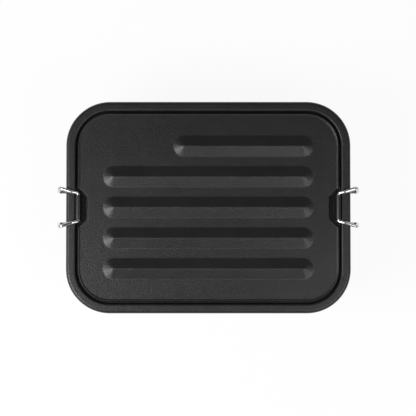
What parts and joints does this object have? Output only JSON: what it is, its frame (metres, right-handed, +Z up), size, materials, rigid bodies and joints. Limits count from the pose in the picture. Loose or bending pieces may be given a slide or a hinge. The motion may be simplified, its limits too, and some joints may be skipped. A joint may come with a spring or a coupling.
{
  "type": "metal lunch box",
  "caption": "Flat black-coated metal lunch box with rounded corners, a ribbed lift-off lid with a sealing ring, and a hinged steel wire clip on each short side.",
  "frame": {"origin": "centre of the box's underside, on the surface that it stands on", "axes": "+X along the long sides towards the right wire clip, +Y towards the short rib, +Z up through the lid"},
  "size_m": [0.18, 0.125, 0.061],
  "materials": {
    "black_coating": "satin fine-grained powder coat",
    "seal_silicone": "matte",
    "clip_steel": "polished wire"
  },
  "bodies": {
    "box": {"tub": "black_coating"},
    "lid": {"lid": "black_coating", "lid_seal": "seal_silicone", "left_clip_hinge": "black_coating", "right_clip_hinge": "black_coating"},
    "left_clip": {"left_wire_clip": "clip_steel"},
    "right_clip": {"right_wire_clip": "clip_steel"}
  },
  "joints": [
    {"name": "lid_lift", "type": "slide", "parent": "box", "child": "lid", "axis": [0, 0, 1], "range_m": [0, 0.08]},
    {"name": "left_clip_swing", "type": "hinge", "parent": "lid", "child": "left_clip", "pos_m": [-0.0768, 0, 0.0585], "axis": [0, 1, 0], "range_deg": [0, 110]},
    {"name": "right_clip_swing", "type": "hinge", "parent": "lid", "child": "right_clip", "pos_m": [0.0768, 0, 0.0585], "axis": [0, -1, 0], "range_deg": [0, 110]}
  ]
}
